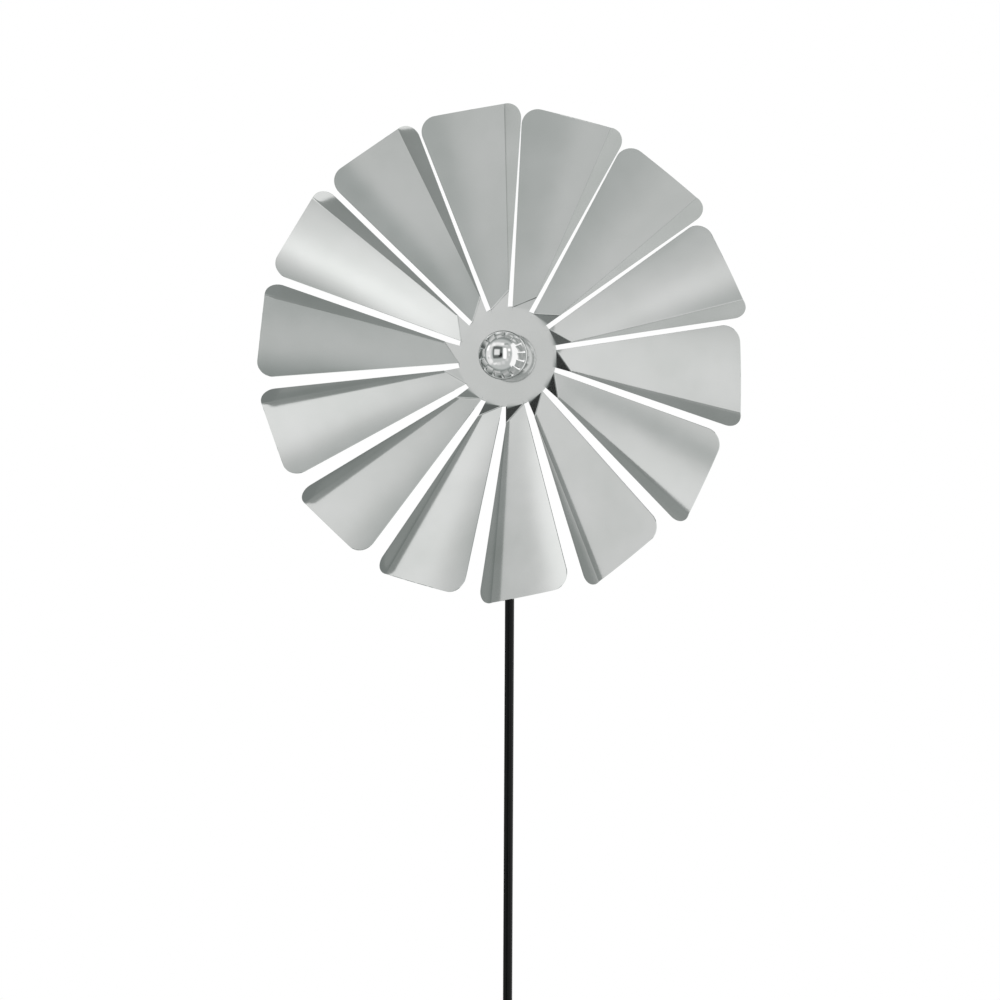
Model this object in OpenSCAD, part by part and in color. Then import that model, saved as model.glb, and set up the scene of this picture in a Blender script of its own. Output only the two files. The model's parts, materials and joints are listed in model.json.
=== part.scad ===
// Garden windmill: a fourteen-blade wheel folded from one steel sheet, on a two-piece ground stake.
// The origin is where the stake's axis meets the ground. +Z is up and the wheel faces -Y.

/* [Stake] */
// Height of the wheel's axle above the ground
axle_h = 1250; // [1100:10:1500]
// Diameter of both stake rods
rod_d = 10; // [8:1:12]
// Length of the lower rod, point included
lower_rod_len = 750; // [600:10:800]
// Length of the lower rod that is pushed into the ground
ground_depth = 250; // [150:10:300]
// Length of the turned point
point_len = 30; // [15:1:60]
// Diameter of the threaded stud that joins the two rods
stud_d = 6; // [5:0.5:6]
// Length of that stud
stud_len = 40; // [24:2:60]

/* [Wheel] */
// Number of blades
blades = 14; // [10:1:18]
// Distance from the axle to the blades' straight outer edges, in the flat sheet
rim_h = 265.5; // [220:0.5:300]
// Thickness of the sheet
sheet_t = 1; // [0.8:0.1:1.5]
// Radius of the flat hub, where the slots between the blades start
hub_r = 53; // [45:1:60]
// Width of the slots between the blades
slot_w = 5.2; // [3:0.1:6]
// Radius at which the root fold leaves the blade's clockwise edge
fold_r = 71; // [66:1:90]
// Radius of the blades' outer corners
corner_r = 16; // [8:1:20]
// Width of the folded trailing strip at the rim
strip_w = 21; // [18:1:30]
// Backward tilt of the small triangle at each blade's root
root_tilt = 5; // [0:1:10]
// Forward bend along the root fold
blade_bend = 32; // [20:1:36]
// Backward bend of the trailing strip
strip_bend = 15; // [5:1:20]
// Turn of the wheel at rest, clockwise seen from the front
rest_turn = 15.8; // [0:0.1:25]

/* [Hub fittings] */
// Diameter of the polished ball nut
ball_d = 52; // [40:1:60]
// Wall of the ball nut
ball_wall = 1.2; // [1:0.1:2]
// Diameter of the axle
axle_d = 8; // [8:1:8]
// Diameter of the clamping flange behind the sheet
flange_d = 60; // [40:1:80]

/* [Bearing head] */
// Distance from the stake's axis to the middle of the sheet
wheel_offset = 21; // [20.5:0.5:26]
// Outer diameter of the bearing housing
housing_d = 32; // [30:1:36]
// Outer diameter of the rod socket
socket_d = 18; // [16:1:22]
// Depth of the rod socket below the axle
socket_drop = 46; // [40:1:60]

/* [Hidden] */

$fn = 64;
eps = 0.01;
fit_gap = 0.02;

rod_r = rod_d / 2;
joint_z = lower_rod_len - ground_depth;
rod_top_drop = 17;
rod_top_z = axle_h - rod_top_drop;
rod_chamfer = 0.5;
stud_r = stud_d / 2;
stud_bore_len = stud_len / 2 + 2;

// 608 ball bearing: bore, outside and width, and the ball circle between the rings
bearing_bore_r = 4;
bearing_r = 11;
bearing_w = 7;
pitch_r = 7.5;
bearing_ball_r = 1.985;
track_r = 2.04;
balls_in_bearing = 7;
inner_land_r = 6;
outer_land_r = 9;
shield_t = 0.3;
cage_w = 5;

// Stations along the axle, measured backwards from the stake's axis
housing_half = 17;
circlip_t = 1;
circlip_out = 15.8;
bearing_out = circlip_out - circlip_t;
bearing_in = bearing_out - bearing_w;
bearing_mid = (bearing_out + bearing_in) / 2;
sheet_front = -wheel_offset - sheet_t / 2;
sheet_back = -wheel_offset + sheet_t / 2;
flange_t = 2;
washer_t = 1.5;
bush_len = 14;
bush_r = 7;
bush_seat = 0.5;
nut_h = 8;
nut_af = 13;
ball_r = ball_d / 2;
ball_front = sheet_front - washer_t;
ball_centre = ball_front - ball_r + bush_seat;
nut_front = bearing_out + washer_t;
axle_front = ball_front - bush_len + 1;
axle_back = nut_front + nut_h + 1.5;
axle_r = axle_d / 2;

// Blade geometry in the flat sheet: +Y points outwards along the blade, +X is its clockwise side
step = 360 / blades;
half = step / 2;
function edge_point(side, r) = [
    side * (r * sin(half) - slot_w / 2 * cos(half)),
    r * cos(half) + slot_w / 2 * sin(half)
];
root_a = edge_point(-1, hub_r);
root_b = edge_point(1, hub_r);
root_c = edge_point(1, fold_r);
rim_edge_r = (rim_h - slot_w / 2 * sin(half)) / cos(half);
rim_d = [edge_point(1, rim_edge_r)[0] - strip_w, rim_h];
corner_y = rim_h - corner_r;
corner_x = corner_y * tan(half) - (slot_w / 2 + corner_r) / cos(half);
corner_edge_r = corner_x * sin(half) + corner_y * cos(half);

// Point where a line from p through q is extended by a factor k
function beyond(p, q, k) = p + k * (q - p);

// Places its children at the axle, turned so that their +Z points forwards along it
module on_axle(y = 0) {
    translate([0, y, axle_h])
        rotate([90, 0, 0])
            children();
}

// A turned piece on the axle between two stations, with a bore
module ring(r, bore, y0, y1) {
    on_axle(y1)
        difference() {
            cylinder(r = r, h = y1 - y0);
            translate([0, 0, -1])
                cylinder(r = bore, h = y1 - y0 + 2);
        }
}

// Bends its children about the line from p to q in the sheet's plane
module fold(p, q, angle) {
    a = atan2(q[1] - p[1], q[0] - p[0]);
    translate([p[0], p[1], 0])
        rotate([0, 0, a])
            rotate([angle, 0, 0])
                rotate([0, 0, -a])
                    translate([-p[0], -p[1], 0])
                        children();
}

// Flat outline of one blade: a wedge with a straight outer edge and rounded outer corners
module blade_outline() {
    polygon([
        root_a, root_b, edge_point(1, corner_edge_r), [corner_x, corner_y],
        [corner_x, rim_h], [-corner_x, rim_h],
        [-corner_x, corner_y], edge_point(-1, corner_edge_r)
    ]);
    for (side = [-1, 1])
        translate([side * corner_x, corner_y])
            circle(r = corner_r, $fn = 48);
}

module sheet_plate() {
    translate([0, 0, -sheet_t / 2])
        linear_extrude(height = sheet_t)
            children();
}

// Main panel: the blade outside the root fold and ahead of the strip fold
module main_panel() {
    sheet_plate()
        intersection() {
            blade_outline();
            polygon([
                root_a, root_c, beyond(root_c, rim_d, 1.3),
                [-rim_h, 1.3 * rim_h], beyond(root_c, root_a, 6)
            ]);
        }
}

// Trailing strip: the narrow wedge along the blade's clockwise edge
module trailing_strip() {
    sheet_plate()
        intersection() {
            blade_outline();
            polygon([root_c, [rim_h, root_c[1]], [rim_h, 1.3 * rim_h], beyond(root_c, rim_d, 1.3)]);
        }
}

module blade() {
    fold(root_a, root_b, -root_tilt) {
        sheet_plate()
            polygon([root_a, root_b, root_c]);
        fold(root_a, root_c, blade_bend) {
            main_panel();
            fold(root_c, rim_d, strip_bend)
                trailing_strip();
        }
    }
}

// The wheel: hub disc and blades in one folded sheet
module wheel_sheet() {
    color("silver")
        on_axle(-wheel_offset)
            rotate([0, 0, -rest_turn])
                difference() {
                    union() {
                        sheet_plate()
                            polygon([
                                for (i = [0:blades - 1])
                                    for (side = [-1, 1])
                                        let (
                                            p = side < 0 ? root_a : root_b,
                                            a = -i * step
                                        )
                                        [p[0] * cos(a) - p[1] * sin(a), p[0] * sin(a) + p[1] * cos(a)]
                            ]);
                        for (i = [0:blades - 1])
                            rotate([0, 0, -i * step])
                                blade();
                    }
                    translate([0, 0, -5])
                        cylinder(r = axle_r + 0.2, h = 10);
                }
}

module lower_rod() {
    color("black")
        difference() {
            rotate_extrude()
                polygon([
                    [0, -ground_depth], [0.6, -ground_depth], [rod_r, point_len - ground_depth],
                    [rod_r, joint_z - rod_chamfer], [rod_r - rod_chamfer, joint_z], [0, joint_z]
                ]);
            translate([0, 0, joint_z - stud_bore_len])
                cylinder(r = stud_r + fit_gap, h = stud_bore_len + 1);
        }
}

module upper_rod() {
    color("black")
        difference() {
            rotate_extrude()
                polygon([
                    [0, joint_z], [rod_r - rod_chamfer, joint_z], [rod_r, joint_z + rod_chamfer],
                    [rod_r, rod_top_z - rod_chamfer], [rod_r - rod_chamfer, rod_top_z], [0, rod_top_z]
                ]);
            translate([0, 0, joint_z - 1])
                cylinder(r = stud_r + fit_gap, h = stud_bore_len + 1);
        }
}

// Threaded stud that screws the two rods together
module rod_stud() {
    color("dimgray")
        translate([0, 0, joint_z - stud_len / 2])
            cylinder(r = stud_r, h = stud_len);
}

// Heights of the two clamp screws in the rod socket
screw_z = [axle_h - 27, axle_h - 39];
screw_r = 2.5;

// Turned housing across the top of the rod, with a socket below and a bearing seat at each end
module bearing_housing() {
    edge = 1;
    color("black")
        difference() {
            union() {
                on_axle()
                    rotate_extrude()
                        polygon([
                            [0, -housing_half], [housing_d / 2 - edge, -housing_half],
                            [housing_d / 2, -housing_half + edge], [housing_d / 2, housing_half - edge],
                            [housing_d / 2 - edge, housing_half], [0, housing_half]
                        ]);
                translate([0, 0, axle_h - socket_drop])
                    rotate_extrude()
                        polygon([
                            [0, 0], [socket_d / 2 - edge, 0], [socket_d / 2, edge],
                            [socket_d / 2, socket_drop - 20], [socket_d / 2 + 3, socket_drop - 14],
                            [socket_d / 2 + 3, socket_drop - 5], [0, socket_drop - 5]
                        ]);
            }
            translate([0, 0, axle_h - socket_drop - 1])
                cylinder(r = rod_r + fit_gap, h = socket_drop - rod_top_drop + 1);
            on_axle(housing_half + 1)
                cylinder(r = outer_land_r + 0.5, h = 2 * housing_half + 2);
            for (side = [-1, 1])
                on_axle()
                    rotate([side < 0 ? 0 : 180, 0, 0]) {
                        translate([0, 0, bearing_in])
                            cylinder(r = bearing_r + fit_gap, h = 20);
                        translate([0, 0, bearing_out])
                            cylinder(r = bearing_r + 0.6, h = circlip_t);
                    }
            for (z = screw_z)
                translate([0, 0, z])
                    rotate([-90, 0, 0])
                        cylinder(r = screw_r + fit_gap, h = 20);
        }
}

// Two socket-head grub screws that clamp the rod in its socket
module clamp_screws() {
    screw_len = 4;
    hex_depth = 2.4;
    hex_r = 1.45;
    color("dimgray")
        for (z = screw_z)
            translate([0, rod_r, z])
                rotate([-90, 0, 0])
                    difference() {
                        cylinder(r = screw_r, h = screw_len);
                        translate([0, 0, screw_len - hex_depth])
                            cylinder(r = hex_r, h = hex_depth + 1, $fn = 6);
                    }
}

// One bearing ring with its ball track, between two radii
module race(r_in, r_out, mid) {
    color("gainsboro")
        on_axle(mid)
            rotate_extrude()
                difference() {
                    translate([r_in, -bearing_w / 2])
                        square([r_out - r_in, bearing_w]);
                    translate([pitch_r, 0])
                        circle(r = track_r);
                }
}

module front_outer_ring() race(outer_land_r, bearing_r, -bearing_mid);
module rear_outer_ring() race(outer_land_r, bearing_r, bearing_mid);
module front_inner_ring() race(bearing_bore_r, inner_land_r, -bearing_mid);
module rear_inner_ring() race(bearing_bore_r, inner_land_r, bearing_mid);

// Pair of thin steel shields pressed into one outer ring
module shields(mid) {
    color("lightgray")
        for (side = [-1, 1])
            ring(outer_land_r, inner_land_r + 0.3,
                mid + side * (bearing_w / 2 - 0.2) - shield_t / 2,
                mid + side * (bearing_w / 2 - 0.2) + shield_t / 2);
}

module front_shields() shields(-bearing_mid);
module rear_shields() shields(bearing_mid);

// Moulded ring that spaces one bearing's balls
module cage(mid) {
    color("tan")
        on_axle(mid)
            difference() {
                translate([0, 0, -cage_w / 2])
                    cylinder(r = pitch_r + 0.8, h = cage_w);
                translate([0, 0, -cage_w])
                    cylinder(r = pitch_r - 0.8, h = 2 * cage_w);
                for (i = [0:balls_in_bearing - 1])
                    rotate([0, 90, i * 360 / balls_in_bearing])
                        cylinder(r = bearing_ball_r + 0.04, h = bearing_r);
            }
}

// One bearing's set of steel balls
module ball_set(mid) {
    color("gainsboro")
        on_axle(mid)
            for (i = [0:balls_in_bearing - 1])
                rotate([0, 0, i * 360 / balls_in_bearing])
                    translate([pitch_r, 0, 0])
                        sphere(r = bearing_ball_r);
}

module front_cage() cage(-bearing_mid);
module rear_cage() cage(bearing_mid);
module front_balls() ball_set(-bearing_mid);
module rear_balls() ball_set(bearing_mid);

// Internal circlip that holds one bearing in the housing
module circlip(y0, y1) {
    color("dimgray")
        difference() {
            ring(bearing_r + 0.5, bearing_r - 1.6, y0, y1);
            translate([-1.5, y0 - 1, axle_h - bearing_r - 2])
                cube([3, y1 - y0 + 2, 6]);
        }
}

module front_circlip() circlip(-circlip_out, -bearing_out);
module rear_circlip() circlip(bearing_out, circlip_out);

// Moulded cap pushed over the rear of the housing
module rear_cap() {
    wall = 1.6;
    cap_r = housing_d / 2 + wall;
    cap_start = 12.5;
    cap_depth = 31 - cap_start;
    round_r = 4;
    color("black")
        on_axle(cap_start)
            mirror([0, 0, 1])
                rotate_extrude()
                    difference() {
                        union() {
                            square([cap_r, cap_depth - round_r]);
                            square([cap_r - round_r, cap_depth]);
                            translate([cap_r - round_r, cap_depth - round_r])
                                circle(r = round_r);
                        }
                        translate([-eps, -1])
                            square([housing_d / 2 + eps, housing_half - cap_start + 1]);
                        translate([-eps, 0])
                            square([housing_d / 2 - 2, cap_depth - 2]);
                        translate([-cap_r - 5, -1])
                            square([cap_r + 5, cap_depth + 2]);
                    }
}

// Hollow polished ball that is the front nut
module ball_nut() {
    color("whitesmoke")
        difference() {
            on_axle(ball_centre)
                sphere(r = ball_r, $fn = 96);
            on_axle(ball_centre)
                sphere(r = ball_r - ball_wall, $fn = 96);
            on_axle(ball_front + 1)
                cylinder(r = bush_r, h = 8);
        }
}

// Threaded bush welded into the ball
module ball_bush() {
    color("lightgray")
        ring(bush_r, axle_r, ball_front - bush_len, ball_front);
}

module front_washer() {
    color("lightgray")
        ring(12, axle_r + 0.2, sheet_front - washer_t, sheet_front);
}

// Flange behind the sheet, with a nose that bears on the front inner ring
module hub_flange() {
    nose_r = inner_land_r - 0.2;
    color("lightgray")
        on_axle(sheet_back)
            mirror([0, 0, 1])
                difference() {
                    rotate_extrude()
                        polygon([
                            [0, 0], [flange_d / 2, 0], [flange_d / 2, flange_t - 0.5],
                            [flange_d / 2 - 0.5, flange_t], [nose_r, flange_t],
                            [nose_r, -bearing_out - sheet_back], [0, -bearing_out - sheet_back]
                        ]);
                    translate([0, 0, -1])
                        cylinder(r = axle_r + 0.02, h = 20);
                }
}

// Threaded axle through the whole hub
module axle() {
    tip = 0.6;
    color("silver")
        on_axle(axle_back)
            rotate_extrude()
                polygon([
                    [0, 0], [axle_r - tip, 0], [axle_r - fit_gap, tip],
                    [axle_r - fit_gap, axle_back - axle_front - tip],
                    [axle_r - tip, axle_back - axle_front], [0, axle_back - axle_front]
                ]);
}

// Sleeve that keeps the two inner rings apart
module spacer_sleeve() {
    color("lightgray")
        ring(inner_land_r - 0.3, axle_r + 0.1, -bearing_in, bearing_in);
}

module rear_washer() {
    color("lightgray")
        ring(inner_land_r, axle_r + 0.2, bearing_out, bearing_out + washer_t);
}

// Self-locking nut at the back of the axle
module lock_nut() {
    collar_h = 1.8;
    color("silver")
        on_axle(nut_front + nut_h)
            difference() {
                union() {
                    translate([0, 0, collar_h])
                        cylinder(r = nut_af / 2 / cos(30), h = nut_h - collar_h, $fn = 6);
                    cylinder(r = nut_af / 2 - 0.5, h = collar_h + eps);
                }
                translate([0, 0, -1])
                    cylinder(r = axle_r, h = nut_h + 2);
            }
}

lower_rod();
upper_rod();
rod_stud();
bearing_housing();
clamp_screws();
front_outer_ring();
rear_outer_ring();
front_shields();
rear_shields();
front_circlip();
rear_circlip();
rear_cap();
front_cage();
front_balls();
rear_cage();
rear_balls();
wheel_sheet();
ball_nut();
ball_bush();
front_washer();
hub_flange();
axle();
front_inner_ring();
rear_inner_ring();
spacer_sleeve();
rear_washer();
lock_nut();
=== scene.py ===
"""Looks for the garden windmill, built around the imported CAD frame. Lengths are in metres."""
import json
import math
import random

import bmesh
import bpy
import numpy as np
from mathutils import Matrix, Vector


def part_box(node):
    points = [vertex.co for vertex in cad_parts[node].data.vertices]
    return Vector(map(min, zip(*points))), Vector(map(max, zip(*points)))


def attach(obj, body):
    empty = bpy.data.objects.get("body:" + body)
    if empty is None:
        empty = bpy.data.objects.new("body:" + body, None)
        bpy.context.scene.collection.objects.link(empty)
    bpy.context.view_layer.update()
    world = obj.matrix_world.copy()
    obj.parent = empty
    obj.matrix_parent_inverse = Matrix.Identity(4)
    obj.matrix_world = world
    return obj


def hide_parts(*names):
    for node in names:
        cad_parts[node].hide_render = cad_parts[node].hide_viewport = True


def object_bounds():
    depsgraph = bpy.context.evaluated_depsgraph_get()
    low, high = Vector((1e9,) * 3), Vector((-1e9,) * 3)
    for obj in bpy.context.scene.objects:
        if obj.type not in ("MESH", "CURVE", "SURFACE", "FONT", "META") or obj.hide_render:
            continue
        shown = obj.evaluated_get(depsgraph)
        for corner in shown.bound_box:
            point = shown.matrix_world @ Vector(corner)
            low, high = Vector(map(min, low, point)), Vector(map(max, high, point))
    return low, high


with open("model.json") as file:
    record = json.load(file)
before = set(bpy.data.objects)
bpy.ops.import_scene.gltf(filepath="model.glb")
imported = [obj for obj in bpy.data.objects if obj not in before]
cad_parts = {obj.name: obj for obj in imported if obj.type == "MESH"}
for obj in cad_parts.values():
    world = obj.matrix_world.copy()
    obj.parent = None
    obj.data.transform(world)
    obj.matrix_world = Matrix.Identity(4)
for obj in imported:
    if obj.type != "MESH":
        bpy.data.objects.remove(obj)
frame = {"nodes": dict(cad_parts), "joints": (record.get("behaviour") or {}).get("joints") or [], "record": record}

CAD_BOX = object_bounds()
MM = 0.001
JOIN_DIST = 0.001 * MM
NODES = frame["nodes"]

# Places taken from the frame
AXLE_Z = frame["joints"][0]["pos_m"][2]
SHEET_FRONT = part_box("front_washer")[1].y
SHEET_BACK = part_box("hub_flange")[0].y
SHEET_Y = (SHEET_FRONT + SHEET_BACK) / 2
SHEET_T = SHEET_BACK - SHEET_FRONT
FLOOR_Z = CAD_BOX[0][2]
FLOOR_R = 1.7

# The flat sheet that the wheel is cut and folded from, with +Y outwards along a blade.
# Tilts, bends and turns are in degrees.
BLADES = 14
RIM_H = 265.5 * MM
HUB_R = 53 * MM
SLOT_W = 5.2 * MM
FOLD_R = 71 * MM
CORNER_R = 16 * MM
STRIP_W = 21 * MM
BORE_R = 4.2 * MM
ROOT_TILT = 5
BLADE_BEND = 32
STRIP_BEND = 15
REST_TURN = 15.8
FOLD_W = 1.8 * MM
HALF = math.pi / BLADES

# Hand-made unevenness of the folded blades: angles in degrees, and the panels' sag and wave
BEND_SPREAD = 0.4
STRIP_SPREAD = 2
PANEL_SAG = 2.0 * MM
SAG_SPREAD = 0.15
SAG_GROWTH = 1.3
PANEL_WAVE = 0.3 * MM
SEED = 14

# Rows of a blade's grids, as fractions out from the root fold, closer at both ends, and in from it
PANEL_ROWS = np.array([0, 0.003, 0.006, 0.01, 0.018, *np.linspace(0.035, 0.99, 40), 0.9975, 1])
FACET_ROWS = np.array([0, 0.05, 0.1, 0.2, 0.4, 0.6, 0.8, 1])

# Polished ball: outer radius, wall, and clearance of its mouth around the bush
BALL_R = 26 * MM
BALL_WALL = 1.2 * MM
MOUTH_GAP = 0.1 * MM


# ---------------------------------------------------------------- folded wheel

def edge_point(side, r):
    """Point at distance r along the slot beside a blade, on the blade's edge."""
    return np.array([
        side * (r * math.sin(HALF) - SLOT_W / 2 * math.cos(HALF)),
        r * math.cos(HALF) + SLOT_W / 2 * math.sin(HALF),
    ])


ROOT_A = edge_point(-1, HUB_R)
ROOT_B = edge_point(1, HUB_R)
ROOT_C = edge_point(1, FOLD_R)
RIM_EDGE_R = (RIM_H - SLOT_W / 2 * math.sin(HALF)) / math.cos(HALF)
RIM_D = np.array([edge_point(1, RIM_EDGE_R)[0] - STRIP_W, RIM_H])
CORNER_Y = RIM_H - CORNER_R
CORNER_X = CORNER_Y * math.tan(HALF) - (SLOT_W / 2 + CORNER_R) / math.cos(HALF)


def corner_points(side, steps):
    """Rounded outer corner, from the blade's edge to its straight outer edge."""
    centre = np.array([side * CORNER_X, CORNER_Y])
    return [
        centre + CORNER_R * np.array([math.sin(a), math.cos(a)])
        for a in np.linspace(side * (math.pi / 2 + HALF), 0, steps)
    ]


def soft_fold(points, p, q, degrees, side=1):
    """Bends the points on one side of the line p-q out of the sheet, over the fold's width."""
    angle = math.radians(degrees)
    e = (q - p) / np.linalg.norm(q - p)
    n = side * np.array([-e[1], e[0]])
    rel = points[:, :2] - p
    along, d, z = rel @ e, rel @ n, points[:, 2]
    k = angle / FOLD_W
    turn = k * np.clip(d + FOLD_W / 2, 0, FOLD_W)
    before = np.minimum(d + FOLD_W / 2, 0)
    after = np.maximum(d - FOLD_W / 2, 0)
    x = before + np.sin(turn) / k + after * math.cos(angle) - z * np.sin(turn) - FOLD_W / 2
    up = (1 - np.cos(turn)) / k + after * math.sin(angle) + z * np.cos(turn)
    flat = p + np.outer(along, e) + np.outer(x, n)
    return np.column_stack([flat, up])


def blade_grids(rng):
    """Folded grids of one blade: main panel, strip and root facet, each (flat, folded)."""
    bend = BLADE_BEND + rng.uniform(-BEND_SPREAD, BEND_SPREAD)
    strip_bend = STRIP_BEND + rng.uniform(-STRIP_SPREAD, STRIP_SPREAD)
    sag = PANEL_SAG * rng.uniform(1 - SAG_SPREAD, 1 + SAG_SPREAD)
    wave = PANEL_WAVE * rng.uniform(-1, 1)

    def folded(flat, with_strip=False, height=0):
        """Folds a grid of the flat sheet, from the fold furthest out to the hub."""
        shape = flat.shape[:-1]
        heights = np.broadcast_to(height, shape)
        pts = np.column_stack([flat.reshape(-1, 2), heights.ravel()])
        if with_strip:
            pts = soft_fold(pts, ROOT_C, RIM_D, -strip_bend, side=-1)
        pts = soft_fold(pts, ROOT_A, ROOT_C, bend)
        pts = soft_fold(pts, ROOT_A, ROOT_B, -ROOT_TILT)
        return pts.reshape(*shape, 3)

    # Main panel, from the root fold to the rim
    rim_x = list(np.linspace(-CORNER_X, RIM_D[0] - 4 * MM, 20))
    rim_x += [RIM_D[0] - 2 * MM, RIM_D[0] - 1 * MM, RIM_D[0]]
    rim = corner_points(-1, 12) + [np.array([x, RIM_H]) for x in rim_x[1:]]
    angles = np.array([math.atan2(p[0], p[1]) for p in rim])
    f = (angles - angles[0]) / (angles[-1] - angles[0])
    base = [ROOT_A + s * (ROOT_C - ROOT_A) for s in f]
    panel_flat = np.array([[b + t * (r - b) for b, r in zip(base, rim)] for t in PANEL_ROWS])
    growth = PANEL_ROWS[:, None] ** SAG_GROWTH
    height = growth * (-4 * sag * f * (1 - f) + wave * np.sin(2 * math.pi * f))
    panel = folded(panel_flat, with_strip=True, height=height)
    seam = folded(panel_flat[0])
    panel[0] = seam

    # Strip beside the slot, which widens from the end of the root fold
    rim = [RIM_D] + corner_points(1, 16)[::-1]
    strip_flat = np.array([[ROOT_C + t * (r - ROOT_C) for r in rim] for t in PANEL_ROWS])
    strip = folded(strip_flat, with_strip=True)
    strip[0] = seam[-1]
    strip[:, 0] = panel[:, -1]

    # Root facet, from the root fold in to the hub
    root = [ROOT_A + s * (ROOT_B - ROOT_A) for s in f]
    facet_flat = np.array([[b + t * (r - b) for b, r in zip(base, root)] for t in FACET_ROWS])
    facet = folded(facet_flat)
    facet[0] = seam
    facet[-1] = np.column_stack([facet_flat[-1], np.zeros(len(f))])
    return [(panel_flat, panel), (strip_flat, strip), (facet_flat, facet)], facet_flat[-1]


def turned(points, angle):
    """Turns sheet points clockwise, seen from the front."""
    c, s = math.cos(angle), math.sin(angle)
    out = points.copy()
    out[..., 0] = points[..., 0] * c + points[..., 1] * s
    out[..., 1] = -points[..., 0] * s + points[..., 1] * c
    return out


def add_grid(verts, faces, uvs, flat, solid, flip=False):
    """Adds a grid of quads to the wheel, with its place in the flat sheet as UVs."""
    start = len(verts)
    rows, cols = solid.shape[:2]
    for r in range(rows):
        for c in range(cols):
            x, y, z = solid[r, c]
            verts.append((x, SHEET_Y - z, AXLE_Z + y))
            uvs.append(tuple(flat[r, c][:2]))
    for r in range(rows - 1):
        for c in range(cols - 1):
            quad = [start + r * cols + c, start + r * cols + c + 1,
                    start + (r + 1) * cols + c + 1, start + (r + 1) * cols + c]
            faces.append(quad[::-1] if flip else quad)


def wheel_sheet():
    """Hub disc and blades as one folded sheet."""
    rng = random.Random(SEED)
    verts, faces, uvs = [], [], []
    hub_edge = []
    for i in range(BLADES):
        angle = math.radians(REST_TURN) + 2 * math.pi * i / BLADES
        grids, root_line = blade_grids(rng)
        for number, (flat, solid) in enumerate(grids):
            # The root facet's rows run inwards, so its faces wind the other way
            outwards = number < 2
            flat, solid = turned(flat, angle), turned(solid, angle)
            add_grid(verts, faces, uvs, flat, solid, flip=outwards)
        hub_edge += list(turned(root_line, angle))
    hub_edge = np.array(hub_edge)
    bore_edge = BORE_R * hub_edge / np.linalg.norm(hub_edge, axis=1)[:, None]
    rings = np.linspace(1, 0, 12)
    flat = np.array([bore_edge + t * (hub_edge - bore_edge) for t in rings])
    flat = np.concatenate([flat, flat[:, :1]], axis=1)
    solid = np.concatenate([flat, np.zeros(flat.shape[:2] + (1,))], axis=2)
    add_grid(verts, faces, uvs, flat, solid)
    return new_mesh("folded_wheel", verts, faces, uvs)


# ---------------------------------------------------------------- mesh helpers

def new_mesh(name, verts, faces, uvs=None):
    """New smooth object from points and faces, with double points joined."""
    mesh = bpy.data.meshes.new(name)
    mesh.from_pydata(verts, [], faces)
    if uvs:
        layer = mesh.uv_layers.new(name="flat")
        for loop in mesh.loops:
            layer.data[loop.index].uv = uvs[loop.vertex_index]
    bm = bmesh.new()
    bm.from_mesh(mesh)
    bmesh.ops.remove_doubles(bm, verts=bm.verts, dist=JOIN_DIST)
    bmesh.ops.dissolve_degenerate(bm, edges=bm.edges, dist=JOIN_DIST)
    bmesh.ops.recalc_face_normals(bm, faces=bm.faces)
    bm.to_mesh(mesh)
    bm.free()
    mesh.polygons.foreach_set("use_smooth", [True] * len(mesh.polygons))
    obj = bpy.data.objects.new(name, mesh)
    bpy.context.scene.collection.objects.link(obj)
    return obj


def soften(obj, width, angle):
    """Small rounded edges with clean shading."""
    bevel = obj.modifiers.new("edges", "BEVEL")
    bevel.width = width
    bevel.segments = 2
    bevel.limit_method = "ANGLE"
    bevel.angle_limit = math.radians(angle)
    bevel.harden_normals = False
    normals = obj.modifiers.new("normals", "WEIGHTED_NORMAL")
    normals.keep_sharp = True


# ---------------------------------------------------------------- materials

# Colour sockets of a Mix node: both inputs, and the output
MIX_A, MIX_B, MIX_OUT = 6, 7, 2


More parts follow.
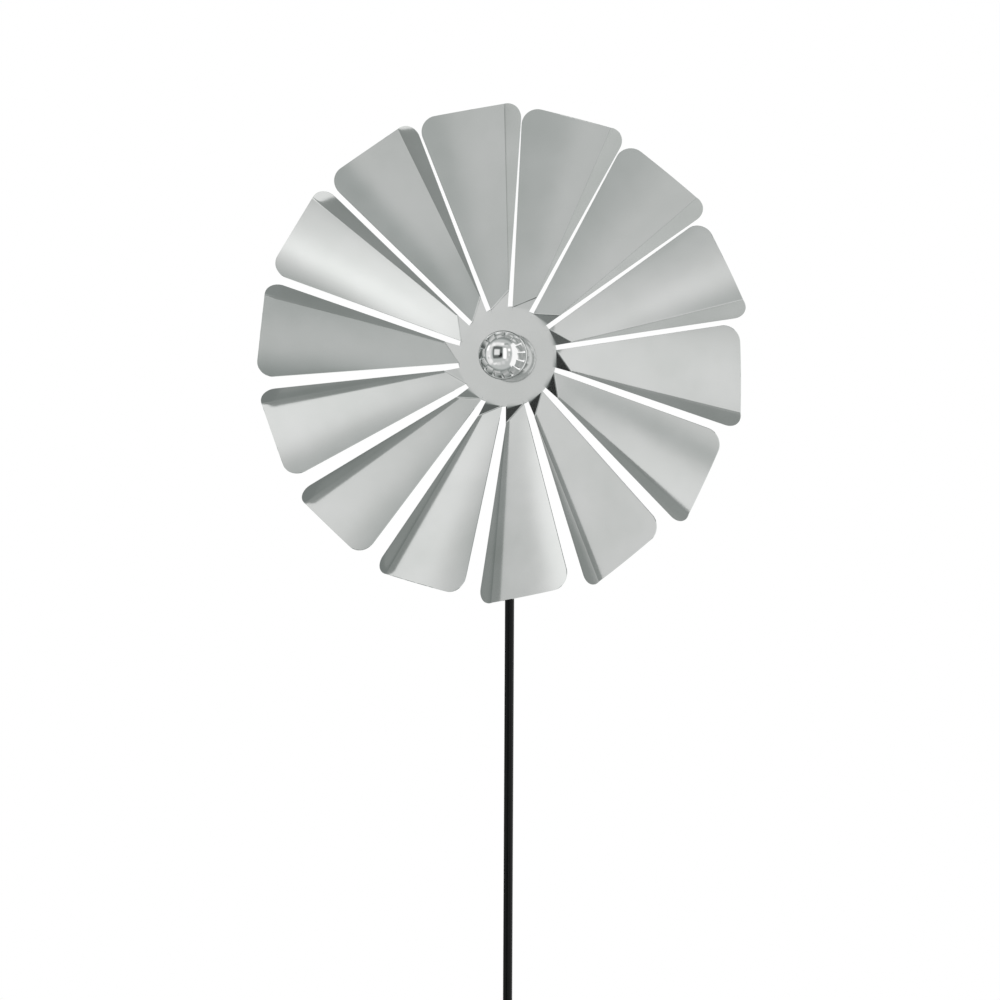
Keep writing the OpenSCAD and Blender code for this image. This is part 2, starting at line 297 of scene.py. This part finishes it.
class Nodes:
    """Short way to build a material's nodes."""

    def __init__(self, name):
        self.material = bpy.data.materials.new(name)
        self.material.use_nodes = True
        self.tree = self.material.node_tree
        self.shader = self.tree.nodes["Principled BSDF"]

    def add(self, kind, **settings):
        node = self.tree.nodes.new(kind)
        for key, value in settings.items():
            setattr(node, key, value)
        return node

    def link(self, a, b):
        self.tree.links.new(a, b)

    def place(self, stretch=(1, 1, 1), uv=False):
        """Coordinates in metres, stretched."""
        if uv:
            source = self.add("ShaderNodeUVMap", uv_map="flat").outputs["UV"]
        else:
            source = self.add("ShaderNodeTexCoord").outputs["Object"]
        scale = self.add("ShaderNodeVectorMath", operation="MULTIPLY")
        scale.inputs[1].default_value = stretch
        self.link(source, scale.inputs[0])
        return scale.outputs[0]

    def noise(self, coords, scale, detail=4.0):
        node = self.add("ShaderNodeTexNoise")
        node.inputs["Scale"].default_value = scale
        node.inputs["Detail"].default_value = detail
        node.inputs["Roughness"].default_value = 0.55
        self.link(coords, node.inputs["Vector"])
        return node.outputs["Fac"]

    def remap(self, value, low, high):
        """Noise, which mostly lies from 0.3 to 0.7, spread from low to high."""
        node = self.add("ShaderNodeMapRange")
        node.inputs["From Min"].default_value = 0.3
        node.inputs["From Max"].default_value = 0.7
        node.inputs["To Min"].default_value = low
        node.inputs["To Max"].default_value = high
        self.link(value, node.inputs["Value"])
        return node.outputs["Result"]

    def tint(self, value, dark, light):
        node = self.add("ShaderNodeMix", data_type="RGBA")
        node.inputs[MIX_A].default_value = (*dark, 1)
        node.inputs[MIX_B].default_value = (*light, 1)
        self.link(value, node.inputs[0])
        self.link(node.outputs[MIX_OUT], self.shader.inputs["Base Color"])

    def bump(self, value, strength, distance):
        node = self.add("ShaderNodeBump")
        node.inputs["Strength"].default_value = strength
        node.inputs["Distance"].default_value = distance
        self.link(value, node.inputs["Height"])
        self.link(node.outputs["Normal"], self.shader.inputs["Normal"])

    def rough(self, value):
        self.link(value, self.shader.inputs["Roughness"])


def satin_steel():
    m = Nodes("satin_steel")
    m.shader.inputs["Metallic"].default_value = 1.0
    grain = m.noise(m.place((60, 2600, 1), uv=True), 1.0, detail=3)
    cloud = m.noise(m.place(), 14, detail=3)
    m.tint(m.remap(cloud, 0, 1), (0.585, 0.6, 0.59), (0.65, 0.66, 0.655))
    mixed = m.add("ShaderNodeMath", operation="ADD")
    m.link(m.remap(grain, -0.015, 0.015), mixed.inputs[0])
    m.link(m.remap(cloud, 0.095, 0.125), mixed.inputs[1])
    m.rough(mixed.outputs[0])
    m.bump(grain, 0.04, 0.02 * MM)
    return m.material


def polished_steel():
    m = Nodes("polished_steel")
    m.shader.inputs["Metallic"].default_value = 1.0
    smudge = m.noise(m.place(), 45, detail=5)
    m.tint(m.remap(smudge, 0, 1), (0.8, 0.8, 0.8), (0.86, 0.86, 0.86))
    m.rough(m.remap(smudge, 0.03, 0.07))
    return m.material


def black_paint():
    m = Nodes("black_paint")
    m.shader.inputs["Specular IOR Level"].default_value = 0.17
    cloud = m.noise(m.place(), 30)
    m.tint(m.remap(cloud, 0, 1), (0.0015, 0.002, 0.002), (0.003, 0.004, 0.0038))
    m.rough(m.remap(cloud, 0.24, 0.32))
    m.bump(m.noise(m.place(), 1800, detail=2), 0.12, 0.05 * MM)
    return m.material


def plated_steel():
    m = Nodes("zinc_steel")
    m.shader.inputs["Metallic"].default_value = 1.0
    cloud = m.noise(m.place(), 160)
    m.tint(m.remap(cloud, 0, 1), (0.5, 0.5, 0.47), (0.62, 0.62, 0.6))
    m.rough(m.remap(cloud, 0.24, 0.4))
    m.bump(m.noise(m.place((300, 4000, 300)), 1.0), 0.06, 0.03 * MM)
    return m.material


def bearing_steel():
    m = Nodes("bearing_steel")
    m.shader.inputs["Metallic"].default_value = 1.0
    cloud = m.noise(m.place(), 220)
    m.tint(m.remap(cloud, 0, 1), (0.6, 0.6, 0.6), (0.68, 0.68, 0.68))
    m.rough(m.remap(cloud, 0.08, 0.16))
    return m.material


def turned_aluminium():
    m = Nodes("turned_aluminium")
    m.shader.inputs["Metallic"].default_value = 1.0
    cloud = m.noise(m.place(), 120)
    m.tint(m.remap(cloud, 0, 1), (0.66, 0.66, 0.67), (0.74, 0.74, 0.75))
    m.rough(m.remap(cloud, 0.28, 0.38))
    m.bump(m.noise(m.place((200, 5000, 200)), 1.0), 0.08, 0.03 * MM)
    return m.material


def plastic(name, dark, light):
    m = Nodes(name)
    cloud = m.noise(m.place(), 80)
    m.tint(m.remap(cloud, 0, 1), dark, light)
    m.rough(m.remap(cloud, 0.5, 0.62))
    m.bump(m.noise(m.place(), 2600, detail=2), 0.1, 0.04 * MM)
    return m.material


def floor_paint():
    m = Nodes("studio_floor")
    cloud = m.noise(m.place(), 3)
    m.tint(m.remap(cloud, 0, 1), (0.86, 0.86, 0.86), (0.9, 0.9, 0.9))
    m.rough(m.remap(cloud, 0.75, 0.85))
    return m.material


def dress(obj, material):
    """Gives a mesh its material, as its one material slot."""
    obj.data.materials.clear()
    obj.data.materials.append(material)


# ---------------------------------------------------------------- pieces

MATERIALS = {
    "satin_steel": satin_steel(),
    "polished_steel": polished_steel(),
    "black_paint": black_paint(),
    "zinc_steel": plated_steel(),
    "bearing_steel": bearing_steel(),
    "turned_aluminium": turned_aluminium(),
    "black_plastic": plastic("black_plastic", (0.008, 0.008, 0.009), (0.014, 0.014, 0.015)),
    "cage_plastic": plastic("cage_plastic", (0.5, 0.4, 0.26), (0.6, 0.5, 0.34)),
}


# Rounding of the CAD pieces' edges
EDGE_WIDTH = {
    "bearing_housing": 0.4 * MM,
    "rear_cap": 0.4 * MM,
    "hub_flange": 0.25 * MM,
    "front_washer": 0.2 * MM,
    "rear_washer": 0.15 * MM,
    "lock_nut": 0.3 * MM,
    "clamp_screws": 0.2 * MM,
    "lower_rod": 0.2 * MM,
    "upper_rod": 0.2 * MM,
}


def dress_cad_nodes():
    """Materials, smooth shading and small rounded edges for the CAD pieces."""
    slots = {part["node"]: part["material_slot"] for part in frame["record"]["subparts"]}
    for name, obj in NODES.items():
        obj.data.materials.clear()
        obj.data.materials.append(MATERIALS[slots[name]])
        obj.data.polygons.foreach_set("use_smooth", [True] * len(obj.data.polygons))
        soften(obj, EDGE_WIDTH.get(name, 0.1 * MM), angle=30)


def build_wheel():
    """The folded sheet, in place of its plain CAD node."""
    wheel = wheel_sheet()
    skin = wheel.modifiers.new("thickness", "SOLIDIFY")
    skin.thickness = SHEET_T
    skin.offset = 0
    skin.use_even_offset = True
    skin.use_quality_normals = True
    soften(wheel, 0.18 * MM, angle=50)
    dress(wheel, MATERIALS["satin_steel"])
    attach(wheel, "wheel")
    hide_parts("wheel_sheet")


def lathe(name, profile, centre, steps, axis="Y"):
    """Turns a profile of (radius, station) points about an axis through the centre."""
    verts, faces = [], []
    for i in range(steps):
        a = 2 * math.pi * i / steps
        for r, s in profile:
            x, y = r * math.cos(a), r * math.sin(a)
            point = (x, s, y) if axis == "Y" else (x, y, s)
            verts.append(tuple(Vector(point) + Vector(centre)))
    n = len(profile)
    for i in range(steps):
        j = (i + 1) % steps
        for k in range(n - 1):
            faces.append([i * n + k, i * n + k + 1, j * n + k + 1, j * n + k])
    return new_mesh(name, verts, faces)


def arc(radius, start, end, count):
    """Points (radius, station) of a sphere's section, with angles from its rear pole."""
    return [(radius * math.sin(a), radius * math.cos(a)) for a in np.linspace(start, end, count)]


def build_ball():
    """Hollow ball with a mouth around the bush, in place of its plain CAD node."""
    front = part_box("ball_nut")[0].y
    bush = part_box("ball_bush")
    mouth_r = (bush[1].x - bush[0].x) / 2 + MOUTH_GAP
    inner_r = BALL_R - BALL_WALL
    outer = arc(BALL_R, math.asin(mouth_r / BALL_R), math.pi, 90)
    inner = arc(inner_r, math.pi, math.asin(mouth_r / inner_r), 60)
    profile = outer + inner + [outer[0]]
    ball = lathe("polished_ball", profile, (0, front + BALL_R, AXLE_Z), steps=160)
    dress(ball, MATERIALS["polished_steel"])
    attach(ball, "wheel")
    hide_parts("ball_nut")


# ---------------------------------------------------------------- stage and light

def build_floor():
    """Pale round floor just below the stake's point."""
    profile = [(0.0, 0.0), (FLOOR_R / 2, 0.0), (FLOOR_R, 0.0), (FLOOR_R, -20 * MM)]
    floor = lathe("studio_floor", profile, (0, 0, FLOOR_Z - 2 * MM), steps=128, axis="Z")
    dress(floor, floor_paint())
    floor.visible_glossy = False


def direction(azimuth, elevation):
    """Unit vector, with azimuth 0 to the front (-Y) and positive to the right (+X)."""
    a, e = math.radians(azimuth), math.radians(elevation)
    return Vector((math.sin(a) * math.cos(e), -math.cos(a) * math.cos(e), math.sin(e)))


# Soft panels around the object: (azimuth, elevation, half width, half height, softness, level)
STUDIO = [
    (-61, 0, 13, 38, 12, 0.9),
    (-52, -26, 8, 7, 8, 1.0),
    (-68, 24, 5, 9, 8, 1.35),
    (-56, 27, 4, 5, 7, 0.78),
    (-62, -12, 3, 4, 6, 0.62),
    (-57, -6, 3, 4, 6, 1.1),
    (-44, 43, 9, 8, 12, 1.1),
    (-16, 49, 14, 7, 14, 1.02),
    (11, 48, 7, 6, 10, 1.15),
    (32, 48, 9, 4, 6, 0.4),
    (31, 40, 6, 4, 6, 0.72),
    (47, 3, 6, 9, 10, 0.52),
    (40, -2, 3, 6, 6, 0.8),
    (41, 20, 5, 5, 9, 1.45),
    (31, -24, 7, 7, 10, 0.75),
    (13, -39, 7, 8, 10, 0.75),
    (-14, -43, 9, 7, 10, 0.8),
    (-36, -41, 9, 4, 8, 1.0),
    (20, 4, 7, 24, 7, 1.45),
    (96, -2, 42, 52, 8, 1.15),
    (150, -6, 22, 26, 14, 1.2),
    (172, -36, 12, 10, 10, 1.15),
    (-134, -16, 9, 6, 8, 0.95),
    (-127, 10, 12, 14, 10, 0.42),
    (-16, 9, 23, 28, 8, 0.16),
    (-1, -3, 9, 9, 8, 0.02),
    (-18, 10, 13, 13, 8, 0.9),
]
# Level of the room in front, at the sides and behind, blended over these angles from the front
BASE_LEVEL = 0.6
SIDE_LEVEL = 0.3
BACK_LEVEL = 0.62
SIDE_FROM, SIDE_TO = 68, 82
BACK_FROM, BACK_TO = 105, 130
# Tints of the darkest and the lightest levels, and where one turns into the other
SHADE_TINT = (0.93, 1.0, 0.975, 1)
LIGHT_TINT = (1.0, 1.0, 0.995, 1)
TINT_FROM, TINT_TO = 0.3, 0.9

LAMP_SIZE = (2.4, 1.8)
LAMP_POWER = 38
LAMP_SPOT = Vector((-0.8, -1.2, 3.2))
LAMP_AIM = Vector((0, 0, 0.8))

# Camera: angles in degrees, its place from the hub, and its view's scale at the hub
YAW = 10.2
ROLL = 0.29
DISTANCE = 2.43
DROP = 0.1526
ASIDE = -0.0071
SENSOR_W = 36
VIEW_W = 1.06406


def build_world():
    """Soft panels by direction for reflections and light, behind plain white for the camera."""
    world = bpy.data.worlds.new("studio")
    bpy.context.scene.world = world
    world.use_nodes = True
    tree = world.node_tree
    tree.nodes.clear()
    nodes, links = tree.nodes, tree.links
    ray = nodes.new("ShaderNodeTexCoord").outputs["Generated"]

    def math_node(kind, a, b=None, c=None):
        node = nodes.new("ShaderNodeMath")
        node.operation = kind
        for socket, value in zip(node.inputs, (a, b, c)):
            if value is None:
                continue
            if isinstance(value, (int, float)):
                socket.default_value = value
            else:
                links.new(value, socket)
        return node.outputs[0]

    def dot(vector):
        node = nodes.new("ShaderNodeVectorMath")
        node.operation = "DOT_PRODUCT"
        links.new(ray, node.inputs[0])
        node.inputs[1].default_value = vector
        return node.outputs["Value"]

    def smooth(value, start, end):
        node = nodes.new("ShaderNodeMapRange")
        node.interpolation_type = "SMOOTHSTEP"
        node.inputs["From Min"].default_value = start
        node.inputs["From Max"].default_value = end
        links.new(value, node.inputs["Value"])
        return node.outputs["Result"]

    def blend(level, mask, new):
        change = math_node("SUBTRACT", new, level)
        return math_node("MULTIPLY_ADD", change, mask, level)

    def away(start, end):
        """Mask of the directions further than these angles from the front."""
        return smooth(forward, math.cos(math.radians(start)), math.cos(math.radians(end)))

    forward = dot(direction(0, 0))
    level = blend(BASE_LEVEL, away(SIDE_FROM, SIDE_TO), SIDE_LEVEL)
    level = blend(level, away(BACK_FROM, BACK_TO), BACK_LEVEL)
    for azimuth, elevation, half_w, half_h, soft, new in STUDIO:
        centre = direction(azimuth, elevation)
        right = direction(azimuth + 90, 0)
        up = right.cross(centre) * -1
        ahead = math_node("MAXIMUM", dot(centre), 0.0001)
        across = math_node("ARCTAN2", dot(right), ahead)
        above = math_node("ARCTAN2", dot(up), ahead)
        masks = []
        for value, half in ((across, half_w), (above, half_h)):
            size = math_node("ABSOLUTE", value)
            outer, inner = math.radians(half + soft / 2), math.radians(half - soft / 2)
            masks.append(smooth(size, outer, inner))
        level = blend(level, math_node("MULTIPLY", *masks), new)
    room = nodes.new("ShaderNodeBackground")
    hue = nodes.new("ShaderNodeMix")
    hue.data_type = "RGBA"
    hue.inputs[MIX_A].default_value = SHADE_TINT
    hue.inputs[MIX_B].default_value = LIGHT_TINT
    links.new(smooth(level, TINT_FROM, TINT_TO), hue.inputs[0])
    links.new(hue.outputs[MIX_OUT], room.inputs["Color"])
    links.new(level, room.inputs["Strength"])
    paper = nodes.new("ShaderNodeBackground")
    paper.inputs["Color"].default_value = (1, 1, 1, 1)
    paper.inputs["Strength"].default_value = 1.0
    mix = nodes.new("ShaderNodeMixShader")
    links.new(nodes.new("ShaderNodeLightPath").outputs["Is Camera Ray"], mix.inputs[0])
    links.new(room.outputs[0], mix.inputs[1])
    links.new(paper.outputs[0], mix.inputs[2])
    out = nodes.new("ShaderNodeOutputWorld")
    links.new(mix.outputs[0], out.inputs["Surface"])


def build_lamp():
    """Wide soft lamp overhead, left out of reflections."""
    data = bpy.data.lights.new("soft_overhead", "AREA")
    data.shape = "RECTANGLE"
    data.size, data.size_y = LAMP_SIZE
    data.energy = LAMP_POWER
    lamp = bpy.data.objects.new("soft_overhead", data)
    lamp.location = LAMP_SPOT
    lamp.rotation_euler = (LAMP_AIM - LAMP_SPOT).to_track_quat("-Z", "Y").to_euler()
    lamp.visible_glossy = False
    lamp.visible_camera = False
    bpy.context.scene.collection.objects.link(lamp)


def build_camera():
    """Level camera to the right of the wheel's axis and a little below it."""
    yaw = math.radians(YAW)
    back = Vector((math.sin(yaw), -math.cos(yaw), 0))
    right = Vector((math.cos(yaw), math.sin(yaw), 0))
    hub = Vector((0, SHEET_Y, AXLE_Z))
    spot = hub + back * DISTANCE + right * ASIDE - Vector((0, 0, DROP))
    turn = Matrix((right, (0, 0, 1), back)).transposed().to_4x4()
    roll = Matrix.Rotation(math.radians(ROLL), 4, "Z")
    data = bpy.data.cameras.new("camera")
    data.sensor_width = SENSOR_W
    data.lens = SENSOR_W * DISTANCE / VIEW_W
    data.clip_start = 0.05
    camera = bpy.data.objects.new("camera", data)
    camera.matrix_world = Matrix.Translation(spot) @ turn @ roll
    bpy.context.scene.collection.objects.link(camera)
    bpy.context.scene.camera = camera


build_camera()
dress_cad_nodes()
build_wheel()
build_ball()
build_floor()
build_world()
build_lamp()
bpy.context.scene.view_settings.view_transform = "Standard"
